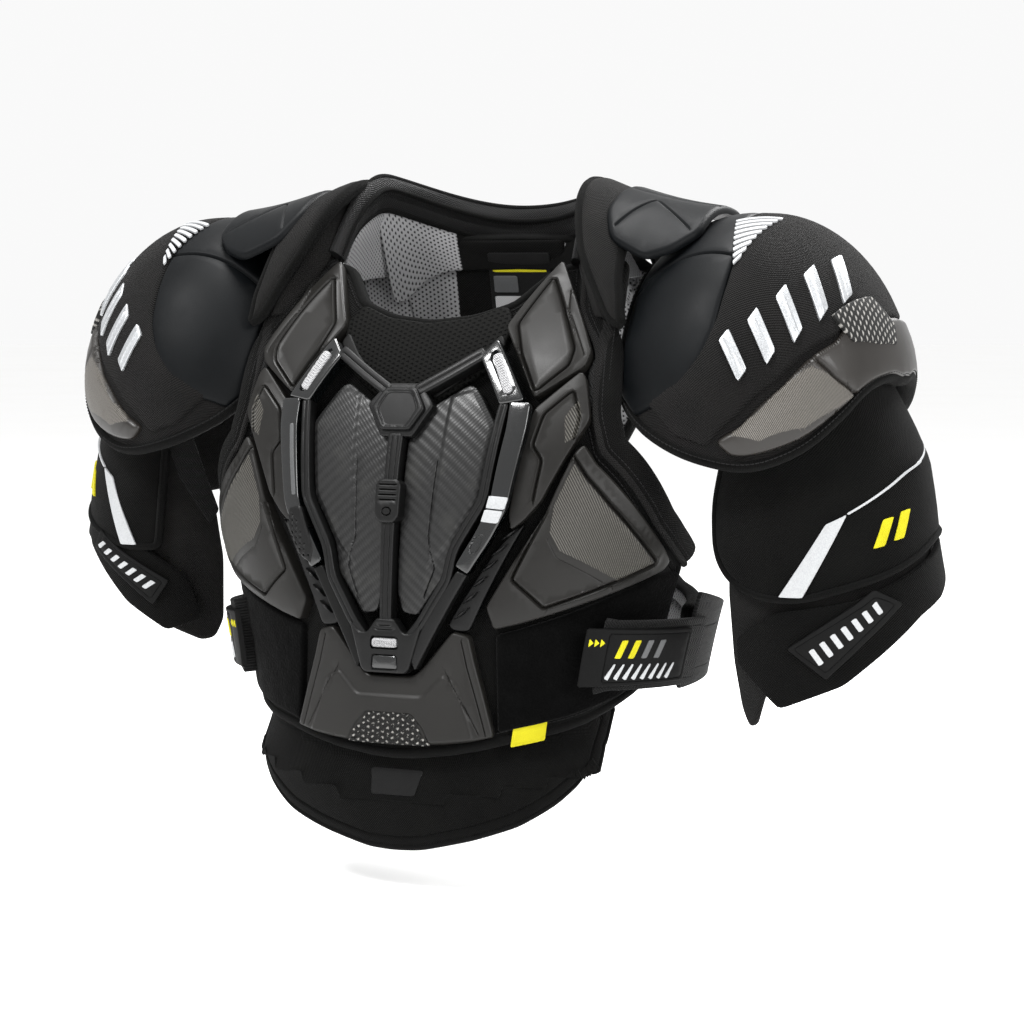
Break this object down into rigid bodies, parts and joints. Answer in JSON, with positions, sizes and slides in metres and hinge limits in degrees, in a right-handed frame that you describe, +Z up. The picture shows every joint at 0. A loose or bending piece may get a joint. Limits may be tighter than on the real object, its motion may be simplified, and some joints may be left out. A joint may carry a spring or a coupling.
{
  "type": "ice hockey shoulder pads",
  "caption": "Hockey shoulder pads: segmented chest guard on a hinged front, back panel, domed shoulder caps, upper arm guards with straps, side straps and a belly extension.",
  "frame": {"origin": "on the torso's vertical centre line, midway between chest and back, at the height of the shoulder rests", "axes": "+Z up, -Y to the wearer's front, +X to the wearer's left"},
  "size_m": [0.6836, 0.2784, 0.479],
  "materials": {
    "liner_mesh": "matte",
    "woven_cloth": "matte",
    "soft_binding": "matte",
    "padded_cloth": "matte",
    "webbing": "matte",
    "label_cloth": "matte",
    "spacer_mesh": "matte",
    "eva_foam": "matte",
    "frame_rubber": "satin",
    "composite_gloss": "gloss",
    "gloss_strip": "gloss",
    "loop_pile": "matte",
    "pale_elastic": "satin",
    "yellow_tab": "matte",
    "patch_rubber": "satin",
    "navy_foam": "matte",
    "cap_cloth": "matte"
  },
  "bodies": {
    "back": {"back_liner": "liner_mesh", "spine_plate": "woven_cloth", "back_shoulder_pad_left": "woven_cloth", "back_shoulder_pad_right": "woven_cloth", "lower_back_pad_left": "woven_cloth", "lower_back_pad_right": "woven_cloth", "collar_roll": "soft_binding", "yoke_left": "padded_cloth", "yoke_right": "padded_cloth", "side_strap_left": "webbing", "side_strap_right": "webbing", "size_label": "label_cloth"},
    "chest": {"chest_liner": "woven_cloth", "neck_mesh": "spacer_mesh", "upper_chest_pad_left": "eva_foam", "upper_chest_pad_right": "eva_foam", "mid_chest_pad_left": "eva_foam", "mid_chest_pad_right": "eva_foam", "side_chest_pad_left": "eva_foam", "side_chest_pad_right": "eva_foam", "sternum_base_pad": "eva_foam", "chest_frame": "frame_rubber", "composite_plate_left": "composite_gloss", "composite_plate_right": "composite_gloss", "flank_strip_left": "gloss_strip", "flank_strip_right": "gloss_strip", "rib_pad_left": "frame_rubber", "rib_pad_right": "frame_rubber", "loop_panel_left": "loop_pile", "loop_panel_right": "loop_pile", "lace_bars": "pale_elastic", "hex_badge": "frame_rubber", "spine_clip": "frame_rubber", "size_tab": "yellow_tab"},
    "extension": {"extension_pad": "woven_cloth"},
    "strap_left": {"strap_tab_left": "webbing", "strap_patch_left": "patch_rubber"},
    "flap_left": {"clavicle_flap_left": "navy_foam"},
    "cap_left": {"shoulder_cap_left": "navy_foam", "cap_liner_left": "soft_binding", "cap_band_left": "cap_cloth", "cap_rim_guard_left": "eva_foam"},
    "arm_left": {"arm_guard_left": "cap_cloth", "arm_liner_left": "soft_binding"},
    "arm_strap_left": {"arm_strap_left": "webbing", "arm_patch_left": "patch_rubber"},
    "strap_right": {"strap_tab_right": "webbing", "strap_patch_right": "patch_rubber"},
    "flap_right": {"clavicle_flap_right": "navy_foam"},
    "cap_right": {"shoulder_cap_right": "navy_foam", "cap_liner_right": "soft_binding", "cap_band_right": "cap_cloth", "cap_rim_guard_right": "eva_foam"},
    "arm_right": {"arm_guard_right": "cap_cloth", "arm_liner_right": "soft_binding"},
    "arm_strap_right": {"arm_strap_right": "webbing", "arm_patch_right": "patch_rubber"}
  },
  "joints": [
    {"name": "chest_swing", "type": "hinge", "parent": "back", "child": "chest", "pos_m": [0, -0.06, -0.055], "axis": [-1, 0, 0], "range_deg": [0, 12]},
    {"name": "extension_flip", "type": "hinge", "parent": "chest", "child": "extension", "pos_m": [0, -0.131, -0.36], "axis": [-1, 0, 0], "range_deg": [0, 50], "stiffness_Nm_per_rad": 0.3, "springref_deg": -11.46},
    {"name": "strap_open_left", "type": "hinge", "parent": "back", "child": "strap_left", "pos_m": [0.192, -0.018, -0.285], "axis": [0, 0, 1], "range_deg": [0, 60]},
    {"name": "cap_raise_left", "type": "hinge", "parent": "back", "child": "cap_left", "pos_m": [0.16, 0.024, 0.008], "axis": [0, -1, 0], "range_deg": [0, 40]},
    {"name": "flap_lift_left", "type": "hinge", "parent": "back", "child": "flap_left", "pos_m": [0.124, 0.015, 0.041], "axis": [0, -1, 0], "range_deg": [0, 34]},
    {"name": "arm_swing_left", "type": "hinge", "parent": "cap_left", "child": "arm_left", "pos_m": [0.33, 0.024, -0.098], "axis": [0, -1, 0], "range_deg": [0, 35], "stiffness_Nm_per_rad": 1.5, "springref_deg": -8.59},
    {"name": "arm_strap_open_left", "type": "hinge", "parent": "arm_left", "child": "arm_strap_left", "pos_m": [0.3305, 0.055, -0.215], "axis": [0, 0, 1], "range_deg": [0, 70]},
    {"name": "strap_open_right", "type": "hinge", "parent": "back", "child": "strap_right", "pos_m": [-0.192, -0.018, -0.285], "axis": [0, 0, -1], "range_deg": [0, 60]},
    {"name": "cap_raise_right", "type": "hinge", "parent": "back", "child": "cap_right", "pos_m": [-0.16, 0.024, 0.008], "axis": [0, 1, 0], "range_deg": [0, 40]},
    {"name": "flap_lift_right", "type": "hinge", "parent": "back", "child": "flap_right", "pos_m": [-0.124, 0.015, 0.041], "axis": [0, 1, 0], "range_deg": [0, 34]},
    {"name": "arm_swing_right", "type": "hinge", "parent": "cap_right", "child": "arm_right", "pos_m": [-0.33, 0.024, -0.098], "axis": [0, 1, 0], "range_deg": [0, 35], "stiffness_Nm_per_rad": 1.5, "springref_deg": -8.59},
    {"name": "arm_strap_open_right", "type": "hinge", "parent": "arm_right", "child": "arm_strap_right", "pos_m": [-0.3305, 0.055, -0.215], "axis": [0, 0, -1], "range_deg": [0, 70]}
  ],
  "couplings": [
    {"joint": "strap_open_left", "follows": "chest_swing", "ratio": 5},
    {"joint": "flap_lift_left", "follows": "cap_raise_left", "ratio": 0.85},
    {"joint": "strap_open_right", "follows": "chest_swing", "ratio": 5},
    {"joint": "flap_lift_right", "follows": "cap_raise_right", "ratio": 0.85}
  ]
}
